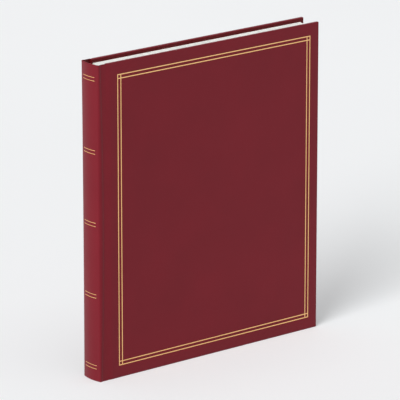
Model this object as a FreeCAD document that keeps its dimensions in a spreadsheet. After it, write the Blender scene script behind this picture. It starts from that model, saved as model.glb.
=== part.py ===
"""Case-bound stamp album, closed and standing on its lower edges.

X runs from the spine to the fore-edge, Y from the front cover to the back cover and Z up. The
origin lies on the standing surface, below the middle of the album. All sizes are millimetres.
"""

import FreeCAD
import Part
import Sketcher
import os

# Driving dimensions: alias, value, meaning
SIZES = (
    ("cover_height", 305, "Covers, tail to head"),
    ("cover_width", 262, "Shoulder of the spine to the fore-edge of the covers"),
    ("spine_bulge", 2.4, "Rounding of the spine beyond its shoulders"),
    ("leather_thickness", 0.35, "Leatherette"),
    ("board_thickness", 2.6, "Grey board inside each cover"),
    ("spine_card_thickness", 1.0, "Card inside the spine"),
    ("spine_card_clearance", 0.1, "Glue between the spine card and the leatherette"),
    ("edge_radius", 0.9, "Rounding of the wrapped cover edges"),
    ("turn_in_width", 15, "Leatherette folded over to the inside"),
    ("joint_width", 9.5, "Shoulder of the spine to the edge of a board"),
    ("groove_depth", 0.9, "Joint groove below the cover face"),
    ("ramp_width", 3.0, "Slope from the groove up to the cover face"),
    ("crease_offset", 4.6, "Shoulder of the spine to the fold line of a cover"),
    ("crease_room", 0.3, "Fold line back to the fixed side"),
    ("crease_gap", 0.1, "Fold line on to the turning side"),
    ("endpaper_thickness", 0.15, "Endpaper pasted inside a cover"),
    ("endpaper_margin", 4.0, "Leatherette left bare round an endpaper"),
    ("endpaper_inset", 1.0, "Endpaper back from the joint edge of the board"),
    ("infill_clearance", 0.1, "Endpaper to the edge of the turned-in leatherette"),
    ("head_square", 3.9, "Covers beyond the leaves at head and tail"),
    ("fore_square", 4.0, "Covers beyond the leaves at the fore-edge"),
    ("leaf_count", 14, "Stock leaves"),
    ("leaf_thickness", 0.9, "Card of a stock leaf"),
    ("film_thickness", 0.08, "Clear film of a pocket strip"),
    ("leaf_clearance", 0.24, "Air between neighbouring leaves"),
    ("flyleaf_thickness", 0.3, "Flyleaf"),
    ("flyleaf_clearance", 0.15, "Air between a flyleaf and the endpaper"),
    ("fold_offset", 4.6, "Shoulder of the spine to the fold line of the leaves"),
    ("linen_width", 5.0, "Fold line to the card of a leaf"),
    ("linen_thickness", 0.25, "Linen hinge of a leaf"),
    ("stub_clearance", 0.15, "Glue between the fixed strips that the leaves fold from"),
    ("stub_inset", 3.0, "Stubs back from the turned-in leatherette at head and tail"),
    ("lining_thickness", 0.4, "Cloth glued over the stubs"),
    ("lining_clearance", 0.3, "Lining to the spine card"),
    ("thread_diameter", 0.8, "Sewing thread"),
    ("thread_clearance", 0.1, "Thread to the wall of its hole"),
    ("stitch_count", 6, "Places where the thread crosses the stubs"),
    ("stitch_inset", 12, "Outermost stitches from the ends of the stubs"),
    ("pocket_count", 9, "Pocket strips on a page"),
    ("pocket_gap", 1.7, "Page showing between two strips"),
    ("page_margin", 6.0, "Edge of the card to the strips"),
    ("foil_thickness", 0.06, "Gold foil"),
    ("deboss_depth", 0.12, "Depth that the foil is pressed in"),
    ("foil_width", 0.9, "Width of a gold line"),
    ("border_spacing", 3.6, "Between the two lines of the border"),
    ("border_spine_side", 21.9, "Shoulder of the spine to the outer line"),
    ("border_fore_side", 11.1, "Fore-edge to the outer line"),
    ("border_end_side", 12.3, "Head or tail to the outer line"),
    ("band_count", 5, "Pairs of gold lines on the spine"),
    ("band_end", 13.75, "Head or tail to the nearest pair"),
    ("band_spacing", 3.3, "Between the two lines of a pair"),
    ("band_length", 16.8, "Gold lines across the spine"),
)

# Places worked out from the driving dimensions: name, expression
LAYOUT = (
    ("leaf_pitch", "Sizes.leaf_thickness + 2 * Sizes.film_thickness + Sizes.leaf_clearance"),
    ("leaf_stack", "Sizes.leaf_count * Layout.leaf_pitch"),
    ("cover_body", "2 * Sizes.leather_thickness + Sizes.board_thickness"),
    ("flyleaf_zone", "Sizes.flyleaf_thickness + Sizes.flyleaf_clearance"),
    ("cover_zone", "Layout.flyleaf_zone + Sizes.endpaper_thickness + Layout.cover_body"),
    ("album_thickness", "Layout.leaf_stack + 2 * Layout.cover_zone"),
    ("half", "Layout.album_thickness / 2"),
    ("shoulder_x", "(Sizes.spine_bulge - Sizes.cover_width) / 2"),
    ("spine_x", "Layout.shoulder_x - Sizes.spine_bulge"),
    ("spine_radius", "(Layout.half ^ 2 + Sizes.spine_bulge ^ 2) / (2 * Sizes.spine_bulge)"),
    ("spine_centre_x", "Layout.spine_x + Layout.spine_radius"),
    ("skin_radius", "Layout.spine_radius - Sizes.leather_thickness"),
    ("card_radius", "Layout.skin_radius - Sizes.spine_card_clearance"),
    ("hollow_radius", "Layout.card_radius - Sizes.spine_card_thickness"),
    ("turn_in_radius", "Layout.hollow_radius - Sizes.spine_card_clearance"),
    ("hollow_half", "Layout.half - Sizes.leather_thickness"),
    ("card_half", "Layout.hollow_half - Sizes.spine_card_clearance"),
    ("card_end_x", "Layout.spine_centre_x - sqrt(Layout.hollow_radius ^ 2 - Layout.card_half ^ 2)"),
    ("step_x", "Layout.card_end_x + Sizes.spine_card_clearance - Layout.shoulder_x"),
    ("ridge_width", "Layout.step_x + Sizes.leather_thickness"),
    ("leaf_height", "Sizes.cover_height - 2 * Sizes.head_square"),
    ("fold_x", "Layout.shoulder_x + Sizes.fold_offset"),
    ("card_x", "Layout.fold_x + Sizes.linen_width"),
    ("leaf_end_x", "Layout.shoulder_x + Sizes.cover_width - Sizes.fore_square"),
    ("hollow_depth", "sqrt(Layout.hollow_radius ^ 2 - (Layout.leaf_stack / 2) ^ 2)"),
    ("lining_x", "Layout.spine_centre_x - Layout.hollow_depth + Sizes.lining_clearance"),
    ("stub_x", "Layout.lining_x + Sizes.lining_thickness"),
    ("stub_thickness", "Layout.leaf_pitch - Sizes.stub_clearance"),
    ("stub_length", "Layout.fold_x - Sizes.crease_room - Layout.stub_x"),
    ("stub_z", "Sizes.turn_in_width + Sizes.stub_inset"),
    ("stub_height", "Sizes.cover_height - 2 * Layout.stub_z"),
    ("stitch_x", "Layout.stub_x + Layout.stub_length / 2"),
    ("stitch_z", "Layout.stub_z + Sizes.stitch_inset"),
    ("stitch_span", "Layout.stub_height - 2 * Sizes.stitch_inset"),
    ("stitch_pitch", "Layout.stitch_span / (Sizes.stitch_count - 1)"),
    ("pocket_pitch", "(Layout.leaf_height - 2 * Sizes.page_margin) / Sizes.pocket_count"),
    ("band_pitch", "(Sizes.cover_height - 2 * Sizes.band_end) / (Sizes.band_count - 1)"),
    ("foil_depth", "Sizes.deboss_depth - Sizes.foil_thickness"),
    ("foil_radius", "Layout.spine_radius - Layout.foil_depth"),
    ("pressed_radius", "Layout.spine_radius - Sizes.deboss_depth"),
)

# Reach of a cutting tool beyond the face that it starts from
OVERSHOOT = "1"

doc = FreeCAD.newDocument("StampAlbum")
sheet = doc.addObject("Spreadsheet::Sheet", "Sizes")
layout = doc.addObject("App::VarSet", "Layout")
pieces = []


# Sheet, derived places and small helpers

def fill_sheet():
    """Write every driving dimension into the sheet under its alias."""
    for row, (alias, value, meaning) in enumerate(SIZES, 1):
        sheet.set(f"A{row}", meaning)
        sheet.set(f"B{row}", str(value))
        sheet.setAlias(f"B{row}", alias)
    doc.recompute()


def fill_layout():
    """Add the derived places, each bound to its expression."""
    for name, expression in LAYOUT:
        layout.addProperty("App::PropertyFloat", name)
        layout.setExpression(name, expression)
        doc.recompute()


def add(kind, name):
    """Add a document object whose label is its name."""
    item = doc.addObject(kind, name)
    item.Label = name
    return item


def bind(item, **expressions):
    """Bind properties of a document object to expressions."""
    for prop, expression in expressions.items():
        item.setExpression(prop, expression)
    return item


def place(item, x, y, z):
    """Bind the place of a document object to expressions."""
    for axis, expression in zip("xyz", (x, y, z)):
        item.setExpression(f"Placement.Base.{axis}", expression)
    return item


def piece(item):
    """Note a finished sub-part for export."""
    pieces.append(item)
    return item


def box(name, corner, size):
    """A box from its lowest corner and its sizes along X, Y and Z."""
    item = bind(add("Part::Box", name), Length=size[0], Width=size[1], Height=size[2])
    return place(item, *corner)


def cylinder(name, radius, x, z, height):
    """An upright cylinder on the middle plane of the album."""
    item = bind(add("Part::Cylinder", name), Radius=radius, Height=height)
    return place(item, x, "0", z)


def cut(name, base, tool):
    """The base without the tool."""
    item = add("Part::Cut", name)
    item.Base = base
    item.Tool = tool
    return item


def common(name, base, tool):
    """What the base and the tool share."""
    item = add("Part::Common", name)
    item.Base = base
    item.Tool = tool
    return item


def fuse(name, shapes):
    """One solid from shapes that meet."""
    item = add("Part::MultiFuse", name)
    item.Shapes = shapes
    item.Refine = True
    return item


def group(name, solids):
    """Separate solids kept together as one sub-part."""
    item = add("Part::Compound", name)
    item.Links = solids
    return item


def number(expression):
    """The value of an expression."""
    return float(layout.evalExpression(expression))


def whole(alias):
    """A count from the sheet."""
    return int(round(number(f"Sizes.{alias}")))


# Cover frame: X from the shoulder, Y inward from the outer face, Z along the cover

def on_cover(side, item, x="0", y="0", z="0"):
    """Set an object on the front cover, or turned over on the back cover."""
    angle = 0 if side == "front" else 180
    turn = FreeCAD.Rotation(FreeCAD.Vector(1, 0, 0), angle)
    item.Placement = FreeCAD.Placement(FreeCAD.Vector(), turn)
    along = f"Layout.shoulder_x + {x}"
    if side == "front":
        return place(item, along, f"{y} - Layout.half", z)
    return place(item, along, f"Layout.half - ({y})", f"Sizes.cover_height - ({z})")


def cover_box(side, name, corner, size):
    """A box in the frame of one cover."""
    item = bind(add("Part::Box", name), Length=size[0], Width=size[1], Height=size[2])
    return on_cover(side, item, *corner)


def outline(body, points):
    """A closed, fully constrained outline on the XY plane of a body."""
    sketch = body.newObject("Sketcher::SketchObject", body.Name + "_outline")
    plane = next(f for f in body.Origin.OriginFeatures if f.Role == "XY_Plane")
    sketch.AttachmentSupport = [(plane, "")]
    sketch.MapMode = "FlatFace"
    corners = [FreeCAD.Vector(number(x), number(y), 0) for x, y in points]
    count = len(corners)
    for i in range(count):
        sketch.addGeometry(Part.LineSegment(corners[i], corners[(i + 1) % count]), False)
    for i in range(count):
        sketch.addConstraint(Sketcher.Constraint("Coincident", i, 2, (i + 1) % count, 1))
    for i, (x, y) in enumerate(points):
        for kind, expression, axis in (("DistanceX", x, -2), ("DistanceY", y, -1)):
            if expression == "0":
                sketch.addConstraint(Sketcher.Constraint("PointOnObject", i, 1, axis))
                continue
            datum = Sketcher.Constraint(kind, i, 1, number(expression))
            sketch.setExpression(f"Constraints[{sketch.addConstraint(datum)}]", expression)
    return sketch


def rounded_slab(side, name, points, z, height, radius, far_x):
    """An extruded outline whose edges at the fore-edge end are rounded."""
    body = add("PartDesign::Body", name)
    sketch = outline(body, points)
    pad = body.newObject("PartDesign::Pad", name + "_pad")
    pad.Profile = sketch
    bind(pad, Length=height)
    doc.recompute()
    reach = number(far_x)
    edges = pad.Shape.Edges
    touching = [f"Edge{i}" for i, e in enumerate(edges, 1) if abs(e.BoundBox.XMax - reach) < 1e-4]
    rounding = body.newObject("PartDesign::Fillet", name + "_rounding")
    rounding.Base = (pad, touching)
    bind(rounding, Radius=radius)
    doc.recompute()
    return on_cover(side, body, z=z)


# Covers

def board(side):
    """Grey board with its joint edge sloped towards the groove."""
    inner = "Sizes.leather_thickness + Sizes.board_thickness"
    far = "Sizes.cover_width - Sizes.leather_thickness"
    points = (
        ("Sizes.joint_width", "Sizes.groove_depth + Sizes.leather_thickness"),
        ("Sizes.joint_width + Sizes.ramp_width", "Sizes.leather_thickness"),
        (far, "Sizes.leather_thickness"),
        (far, inner),
        ("Sizes.joint_width", inner),
    )
    height = "Sizes.cover_height - 2 * Sizes.leather_thickness"
    radius = "Sizes.edge_radius - Sizes.leather_thickness"
    return rounded_slab(side, f"{side}_board", points, "Sizes.leather_thickness", height, radius, far)


def cover_leather(side, core, pressed):
    """Leatherette wrapped over the board, with its half of the joint."""
    name = f"{side}_cover_leather"
    near = "Sizes.crease_offset + Sizes.crease_gap"
    under = "Sizes.groove_depth + Sizes.leather_thickness"
    points = (
        (near, "Sizes.groove_depth"),
        ("Sizes.joint_width", "Sizes.groove_depth"),
        ("Sizes.joint_width + Sizes.ramp_width", "0"),
        ("Sizes.cover_width", "0"),
        ("Sizes.cover_width", "Layout.cover_body"),
        ("Sizes.joint_width", "Layout.cover_body"),
        ("Sizes.joint_width", under),
        (near, under),
    )
    block = rounded_slab(side, name + "_block", points, "0", "Sizes.cover_height",
                         "Sizes.edge_radius", "Sizes.cover_width")
    window = cover_box(
        side, name + "_window",
        (f"Sizes.joint_width - {OVERSHOOT}", "Layout.cover_body - Sizes.leather_thickness",
         "Sizes.turn_in_width"),
        (f"Sizes.cover_width - Sizes.turn_in_width - Sizes.joint_width + {OVERSHOOT}",
         f"Sizes.leather_thickness + {OVERSHOOT}",
         "Sizes.cover_height - 2 * Sizes.turn_in_width"))
    if pressed is None:
        return cut(name, cut(name + "_shell", block, core), window)
    opened = cut(name + "_opened", cut(name + "_shell", block, core), window)
    return cut(name, opened, pressed)


def endpaper(side):
    """Paper over the turned-in edges, filling the space between them."""
    name = f"{side}_endpaper"
    near = "Sizes.joint_width + Sizes.endpaper_inset"
    paper = cover_box(
        side, name + "_sheet",
        (near, "Layout.cover_body", "Sizes.endpaper_margin"),
        (f"Sizes.cover_width - Sizes.endpaper_margin - ({near})", "Sizes.endpaper_thickness",
         "Sizes.cover_height - 2 * Sizes.endpaper_margin"))
    edge = "(Sizes.turn_in_width + Sizes.infill_clearance)"
    infill = cover_box(
        side, name + "_infill",
        (near, "Layout.cover_body - Sizes.leather_thickness", edge),
        (f"Sizes.cover_width - {edge} - ({near})", "Sizes.leather_thickness",
         f"Sizes.cover_height - 2 * {edge}"))
    return fuse(name, [paper, infill])


# Gold lines

def border(name, y, depth):
    """Double-line border on the front cover, its lines crossing at the corners."""
    half = "Sizes.foil_width / 2"
    near = "Sizes.border_spine_side"
    far = "(Sizes.cover_width - Sizes.border_fore_side)"
    low = "Sizes.border_end_side"
    high = "(Sizes.cover_height - Sizes.border_end_side)"
    uprights = (near, f"{near} + Sizes.border_spacing", f"{far} - Sizes.border_spacing", far)
    levels = (low, f"{low} + Sizes.border_spacing", f"{high} - Sizes.border_spacing", high)
    lines = []
    for i, x in enumerate(uprights, 1):
        lines.append(cover_box("front", f"{name}_upright_{i}", (f"{x} - {half}", y, f"{low} - {half}"),
                               ("Sizes.foil_width", depth, f"{high} - {low} + Sizes.foil_width")))
    for i, z in enumerate(levels, 1):
        lines.append(cover_box("front", f"{name}_level_{i}", (f"{near} - {half}", y, f"{z} - {half}"),
                               (f"{far} - {near} + Sizes.foil_width", depth, "Sizes.foil_width")))
    return fuse(name, lines)


def bands(name, inner_radius, outer_radius):
    """Pairs of lines across the rounded spine, between two radii."""
    outer = cylinder(name + "_outer", outer_radius, "Layout.spine_centre_x", "0", "Sizes.cover_height")
    inner = cylinder(name + "_inner", inner_radius, "Layout.spine_centre_x", "0", "Sizes.cover_height")
    ring = cut(name + "_ring", outer, inner)
    lines = []
    for i in range(whole("band_count")):
        for sign in "-+":
            centre = f"Sizes.band_end + {i} * Layout.band_pitch {sign} Sizes.band_spacing / 2"
            lines.append(box(
                f"{name}_line_{len(lines) + 1:02d}",
                (f"Layout.spine_x - {OVERSHOOT}", "-Sizes.band_length / 2",
                 f"{centre} - Sizes.foil_width / 2"),
                (f"2 * Sizes.spine_bulge + {OVERSHOOT}", "Sizes.band_length", "Sizes.foil_width")))
    return common(name, ring, group(name + "_lines", lines))


# Spine

def spine_core(name, radius, half, z, height):
    """Upright block inside the spine, rounded to a radius at the back."""
    back = cylinder(name + "_back", radius, "Layout.spine_centre_x", z, height)
    room = box(name + "_room", (f"Layout.spine_x - {OVERSHOOT}", f"-{half}", z),
               (f"Sizes.spine_bulge + Layout.ridge_width + {OVERSHOOT}", f"2 * {half}", height))
    return common(name, back, room)


def spine_board():
    """Curved card inside the spine leatherette."""
    z = "Sizes.leather_thickness"
    height = "Sizes.cover_height - 2 * Sizes.leather_thickness"
    outer = spine_core("spine_board_outer", "Layout.card_radius", "Layout.card_half", z, height)
    inner = spine_core("spine_board_inner", "Layout.hollow_radius", "Layout.hollow_half", z, height)
    return cut("spine_board", outer, inner)


def spine_leather(pressed):
    """Leatherette round the spine card, turned in at head and tail, with a rim and a flap each side."""
    name = "spine_leather"
    envelope = spine_core(name + "_envelope", "Layout.spine_radius", "Layout.half", "0", "Sizes.cover_height")
    z = "Sizes.leather_thickness"
    height = "Sizes.cover_height - 2 * Sizes.leather_thickness"
    slot = cut(name + "_slot",
               spine_core(name + "_slot_outer", "Layout.skin_radius", "Layout.hollow_half", z, height),
               spine_core(name + "_slot_inner", "Layout.turn_in_radius", "Layout.half", z, height))
    through = spine_core(name + "_through", "Layout.turn_in_radius - Sizes.leather_thickness",
                         "Layout.hollow_half", f"-{OVERSHOOT}", f"Sizes.cover_height + 2 * {OVERSHOOT}")
    between = spine_core(name + "_between", "Layout.skin_radius", "Layout.hollow_half", "Sizes.turn_in_width",
                         "Sizes.cover_height - 2 * Sizes.turn_in_width")
    shell = cut(name + "_channel", cut(name + "_shell", envelope, slot), through)
    parts = [cut(name + "_skin", shell, between)]
    for side in ("front", "back"):
        near = "Layout.step_x"
        parts.append(cover_box(side, f"{name}_{side}_step", (near, "0", "0"),
                               ("Sizes.leather_thickness", "Sizes.groove_depth + Sizes.leather_thickness",
                                "Sizes.cover_height")))
        parts.append(cover_box(side, f"{name}_{side}_flap", (near, "Sizes.groove_depth", "0"),
                               (f"Sizes.crease_offset - Sizes.crease_room - {near}",
                                "Sizes.leather_thickness", "Sizes.cover_height")))
    return cut(name, fuse(name + "_whole", parts), pressed)


# Leaves and binding

def leaf_middle(index):
    """Y of the middle of a stock leaf."""
    return f"(({index} + 0.5) * Layout.leaf_pitch - Layout.leaf_stack / 2)"


def stock_leaf(index):
    """Card, linen hinge and the pocket strips of both pages."""
    number_text = f"{index + 1:02d}"
    middle = leaf_middle(index)
    face = f"{middle} - Sizes.leaf_thickness / 2"
    card = box(f"leaf_{number_text}", ("Layout.card_x", face, "Sizes.head_square"),
               ("Layout.leaf_end_x - Layout.card_x", "Sizes.leaf_thickness", "Layout.leaf_height"))
    linen = box(f"leaf_hinge_{number_text}",
                ("Layout.fold_x + Sizes.crease_gap", f"{middle} - Sizes.linen_thickness / 2",
                 "Sizes.head_square"),
                ("Sizes.linen_width - Sizes.crease_gap", "Sizes.linen_thickness", "Layout.leaf_height"))
    strips = []
    for y in (f"{face} - Sizes.film_thickness", f"{middle} + Sizes.leaf_thickness / 2"):
        for row in range(whole("pocket_count")):
            z = (f"Sizes.head_square + Sizes.page_margin + Sizes.pocket_gap / 2"
                 f" + {row} * Layout.pocket_pitch")
            strips.append(box(
                f"pocket_{number_text}_{len(strips) + 1:02d}",
                ("Layout.card_x + Sizes.page_margin", y, z),
                ("Layout.leaf_end_x - Layout.card_x - 2 * Sizes.page_margin", "Sizes.film_thickness",
                 "Layout.pocket_pitch - Sizes.pocket_gap")))
    return card, linen, group(f"leaf_pockets_{number_text}", strips)


def flyleaf(side):
    """Plain leaf between a cover and the stock leaves."""
    near = "Layout.leaf_stack / 2"
    y = f"-{near} - Sizes.flyleaf_thickness" if side == "front" else near
    return box(f"{side}_flyleaf", ("Layout.fold_x + Sizes.crease_gap", y, "Sizes.head_square"),
               ("Layout.leaf_end_x - Layout.fold_x - Sizes.crease_gap", "Sizes.flyleaf_thickness",
                "Layout.leaf_height"))


def binding_stubs():
    """Fixed strips that the leaves fold from, with the sewing holes."""
    stubs = []
    for index in range(whole("leaf_count")):
        stubs.append(box(f"stub_{index + 1:02d}",
                         ("Layout.stub_x", f"{leaf_middle(index)} - Layout.stub_thickness / 2",
                          "Layout.stub_z"),
                         ("Layout.stub_length", "Layout.stub_thickness", "Layout.stub_height")))
    holes = []
    for i in range(whole("stitch_count")):
        hole = bind(add("Part::Cylinder", f"stitch_hole_{i + 1}"),
                    Radius="Sizes.thread_diameter / 2 + Sizes.thread_clearance",
                    Height="Layout.album_thickness")
        hole.Placement = FreeCAD.Placement(
            FreeCAD.Vector(), FreeCAD.Rotation(FreeCAD.Vector(1, 0, 0), -90))
        holes.append(place(hole, "Layout.stitch_x", "-Layout.half",
                           f"Layout.stitch_z + {i} * Layout.stitch_pitch"))
    return cut("binding_stubs", group("stub_strips", stubs), group("stitch_holes", holes))


def spine_lining():
    """Cloth glued over the ends of the stubs."""
    return box("spine_lining", ("Layout.lining_x", "-Layout.leaf_stack / 2", "Layout.stub_z"),
               ("Sizes.lining_thickness", "Layout.leaf_stack", "Layout.stub_height"))


def bent_path(points, radius):
    """Straight runs joined by small bends."""
    edges = []
    start = points[0]
    for before, corner, after in zip(points, points[1:], points[2:]):
        into = (corner - before).normalize()
        out = (after - corner).normalize()
        enter = corner - into * radius
        leave = corner + out * radius
        middle = corner + (out - into) * radius * (1 - 0.5 ** 0.5)
        edges.append(Part.makeLine(start, enter))
        edges.append(Part.Arc(enter, middle, leave).toShape())
        start = leave
    edges.append(Part.makeLine(start, points[-1]))
    return Part.Wire(edges)


def sewing_thread():
    """One thread that crosses the stubs at every stitch and runs on along their outer faces."""
    radius = number("Sizes.thread_diameter / 2")
    bend = radius + number("Sizes.thread_clearance / 2")
    reach = number("(Layout.leaf_stack - Layout.leaf_pitch + Layout.stub_thickness) / 2") + bend
    x = number("Layout.stitch_x")
    points = []
    for i in range(whole("stitch_count")):
        z = number(f"Layout.stitch_z + {i} * Layout.stitch_pitch")
        side = 1 if i % 2 else -1
        points.append(FreeCAD.Vector(x, side * reach, z))
        points.append(FreeCAD.Vector(x, -side * reach, z))
    path = bent_path(points, bend)
    ring = Part.Wire([Part.makeCircle(radius, points[0], points[1] - points[0])])
    item = add("Part::Feature", "sewing_thread")
    item.Shape = path.makePipeShell([ring], True, False)
    item.Placement = FreeCAD.Placement()
    return item


# Assembly

def build():
    """Make every sub-part."""
    fill_sheet()
    fill_layout()
    front_core = piece(board("front"))
    back_core = piece(board("back"))
    groove = border("border_groove", f"-{OVERSHOOT}", f"Sizes.deboss_depth + {OVERSHOOT}")
    piece(cover_leather("front", front_core, groove))
    piece(cover_leather("back", back_core, None))
    piece(border("front_gold_border", "Layout.foil_depth", "Sizes.foil_thickness"))
    piece(endpaper("front"))
    piece(endpaper("back"))
    piece(spine_board())
    grooves = bands("band_grooves", "Layout.pressed_radius", f"Layout.spine_radius + {OVERSHOOT}")
    piece(spine_leather(grooves))
    piece(bands("spine_gold_bands", "Layout.pressed_radius", "Layout.foil_radius"))
    piece(binding_stubs())
    piece(spine_lining())
    piece(sewing_thread())
    piece(flyleaf("front"))
    piece(flyleaf("back"))
    for index in range(whole("leaf_count")):
        for item in stock_leaf(index):
            piece(item)
    doc.recompute()


def check():
    """Stop if any object is in error or any sub-part has a bad shape."""
    for item in doc.Objects:
        if "Invalid" in item.State or "Error" in item.State:
            raise RuntimeError(f"{item.Label} is in error: {item.State}")
    for item in pieces:
        shape = item.Shape
        if shape.isNull() or not shape.isValid() or not shape.Solids:
            raise RuntimeError(f"{item.Label} has no valid solid")


def export():
    """Write one STEP file for each sub-part."""
    os.makedirs("parts", exist_ok=True)
    for item in pieces:
        item.Shape.exportStep(f"parts/{item.Label}.step")


build()
check()
export()
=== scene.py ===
"""Looks of a case-bound stamp album: leatherette, gold lines, paper, linen and clear pockets.

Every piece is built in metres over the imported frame. +X runs from the spine to the fore-edge,
-Y is the front cover and +Z is up. A "depth" is measured from a cover's outer face inwards, and
an "along" is measured from the spine's shoulder towards the fore-edge.
"""
import math
from functools import partial

import bmesh
import bpy
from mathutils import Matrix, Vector


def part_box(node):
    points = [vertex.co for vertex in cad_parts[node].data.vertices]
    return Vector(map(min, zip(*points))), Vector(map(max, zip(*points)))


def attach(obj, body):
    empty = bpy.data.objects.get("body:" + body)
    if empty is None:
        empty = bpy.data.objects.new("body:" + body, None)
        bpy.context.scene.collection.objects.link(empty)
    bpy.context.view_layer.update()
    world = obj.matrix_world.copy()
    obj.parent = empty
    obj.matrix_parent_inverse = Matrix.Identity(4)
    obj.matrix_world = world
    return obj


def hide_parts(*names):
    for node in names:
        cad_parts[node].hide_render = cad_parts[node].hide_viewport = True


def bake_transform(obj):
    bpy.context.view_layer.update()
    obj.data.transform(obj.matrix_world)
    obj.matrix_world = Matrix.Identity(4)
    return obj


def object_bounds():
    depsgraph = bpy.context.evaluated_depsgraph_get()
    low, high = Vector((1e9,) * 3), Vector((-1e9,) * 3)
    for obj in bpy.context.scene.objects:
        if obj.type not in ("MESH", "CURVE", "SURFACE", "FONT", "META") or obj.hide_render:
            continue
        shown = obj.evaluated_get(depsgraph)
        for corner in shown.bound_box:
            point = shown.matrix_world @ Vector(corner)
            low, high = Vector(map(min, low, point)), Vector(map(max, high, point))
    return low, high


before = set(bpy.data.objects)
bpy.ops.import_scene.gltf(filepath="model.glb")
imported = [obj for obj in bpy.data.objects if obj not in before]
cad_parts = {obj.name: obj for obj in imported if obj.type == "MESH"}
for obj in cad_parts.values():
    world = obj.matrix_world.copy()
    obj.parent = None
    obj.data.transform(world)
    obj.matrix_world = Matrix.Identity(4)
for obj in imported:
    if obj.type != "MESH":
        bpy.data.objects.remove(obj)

bl_info = {
    "name": "Stamp album looks",
    "version": (1, 0, 0),
    "blender": (4, 5, 0),
    "location": "View3D > Sidebar > Album",
    "description": "Builds the covering, gold lines, leaves and pockets of a stamp album",
    "category": "Object",
}

MM = 0.001
SIDES = (("front", -1), ("back", 1))

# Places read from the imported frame.
CAD_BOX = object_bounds()
BORDER_LOW, BORDER_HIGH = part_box("front_gold_border")
BANDS_LOW, BANDS_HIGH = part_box("spine_gold_bands")
BOARD_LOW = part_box("front_board")[0]
COVER_LOW, COVER_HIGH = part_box("front_cover_leather")
HALF_THICKNESS = CAD_BOX[1].y
ALBUM_HEIGHT = CAD_BOX[1].z
SPINE_APEX = CAD_BOX[0].x
FORE_EDGE = CAD_BOX[1].x
LEAVES = sorted(name[-2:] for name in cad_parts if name.startswith("leaf_pockets_"))

# Case sizes that the covering follows.
BOARD_SETBACK = 9.5 * MM
SHOULDER_X = BOARD_LOW.x - BOARD_SETBACK
COVER_LENGTH = FORE_EDGE - SHOULDER_X
COVER_THICKNESS = COVER_HIGH.y - COVER_LOW.y
SPINE_RISE = SHOULDER_X - SPINE_APEX
SPINE_RADIUS = (HALF_THICKNESS ** 2 + SPINE_RISE ** 2) / (2 * SPINE_RISE)
SPINE_CENTRE = SPINE_APEX + SPINE_RADIUS

# Gold lines of the border, and the pairs of bands across the spine.
LINE_WIDTH = 0.9 * MM
LINE_PITCH = 3.6 * MM
BAND_PAIRS = 5
BAND_WIDTH = 0.55 * MM
BAND_PITCH = 3.3 * MM
BAND_REACH = math.asin(BANDS_HIGH.y / SPINE_RADIUS)


def length(name, description, millimetres):
    """A size that a user may change, given in millimetres."""
    return bpy.props.FloatProperty(
        name=name, description=description, default=millimetres * MM, min=0.0,
        precision=5, unit="LENGTH", subtype="DISTANCE")


def colour(name, description, value):
    """A colour that a user may change, in linear red, green and blue."""
    return bpy.props.FloatVectorProperty(
        name=name, description=description, default=value, min=0.0, max=1.0,
        size=3, subtype="COLOR")


class AlbumSizes(bpy.types.PropertyGroup):
    """Sizes of the album's covering and of the detail inside."""
    edge_radius: length("Edge radius", "Rounding of the leatherette over the board edges", 0.9)
    tip_radius: length("Shoulder tip radius", "Tight rounding from spine into shoulder", 1.7)
    crest_radius: length("Shoulder crest radius", "Wide rounding over the top of the shoulder", 7.0)
    crest_depth: length("Crest depth", "Highest point of the shoulder below the cover's face", 0.3)
    groove_depth: length("Groove depth", "Crease beside the board below the cover's face", 0.8)
    groove_floor: length("Groove crease", "Where the covering begins to rise to the board", 5.3)
    groove_end: length("Groove end", "Where the groove has reached the cover's face", 14.5)
    joint_bow: length("Joint bow", "How far the joint bends to the spine at head and tail", 2.5)
    crown_depth: length("Crown depth", "How far the cover's face falls towards its edges", 0.24)
    crown_width: length("Crown width", "Width of the falling margin of the cover's face", 10.0)
    joint_skin: length("Joint thickness", "Doubled leatherette where the cover folds", 0.4)
    spine_wall: length("Spine thickness", "Leatherette and card of the rounded spine", 1.6)
    line_press: length("Line press", "Depth that the gold lines are pressed in", 0.1)
    line_slope: length("Line slope", "Width of the sloping side of a pressed line", 0.25)
    window_step: length("Turn-in step", "Step of the endpaper over the turned-in leatherette", 0.16)
    linen_overlap: length("Linen overlap", "Width of linen glued onto each leaf", 5.0)
    leaf_corner: length("Leaf corner", "Rounding of the leaf corners at the fore-edge", 2.0)
    leaf_cut: length("Leaf cut", "Cut corners of the leaves at the fold", 2.5)
    flyleaf_cut: length("Flyleaf cut", "Cut corners of flyleaves and endpapers at the fold", 6.0)
    weld_width: length("Weld width", "Width of the sealed line along a pocket strip", 1.4)
    grain_size: length("Grain size", "Size of a pebble of the leatherette grain", 0.65)
    thread_size: length("Linen thread", "Width of a thread of the linen", 0.45)


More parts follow.
